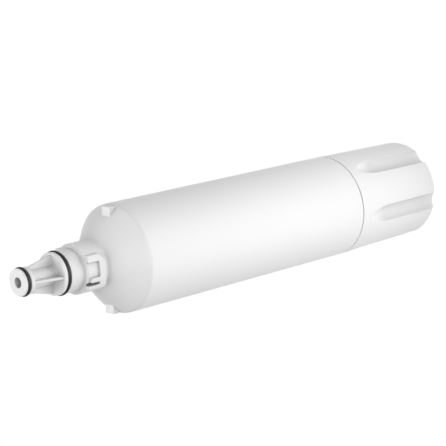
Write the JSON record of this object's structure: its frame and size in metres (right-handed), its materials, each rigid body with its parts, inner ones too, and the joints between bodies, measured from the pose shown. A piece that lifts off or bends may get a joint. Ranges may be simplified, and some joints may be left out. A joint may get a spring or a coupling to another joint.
{
  "type": "fridge water filter cartridge",
  "caption": "White push-and-turn fridge water filter: smooth barrel, conical shoulder, ribbed nose with black seals and bayonet lugs, and a fluted grip cap.",
  "frame": {"origin": "centre of the grip cap's flat end, on which the cartridge stands", "axes": "+Z along the cartridge's axis towards its nose, -Y towards one bayonet lug, X through the two stop lugs"},
  "size_m": [0.052, 0.052, 0.2616],
  "materials": {
    "housing_plastic": "fine satin moulding",
    "cap_plastic": "fine satin moulding",
    "seal_rubber": "smooth, lightly greased",
    "pressed_carbon": "dry, grainy",
    "wrap_fabric": "non-woven",
    "net_plastic": "extruded net",
    "core_plastic": "natural"
  },
  "bodies": {
    "root": {"housing": "housing_plastic", "grip_cap": "cap_plastic", "tip_o_ring": "seal_rubber", "neck_o_ring": "seal_rubber", "carbon_block": "pressed_carbon", "prefilter_wrap": "wrap_fabric", "netting_sleeve": "net_plastic", "outlet_end_cap": "core_plastic", "closed_end_cap": "core_plastic", "spigot_o_ring": "seal_rubber"}
  },
  "joints": []
}
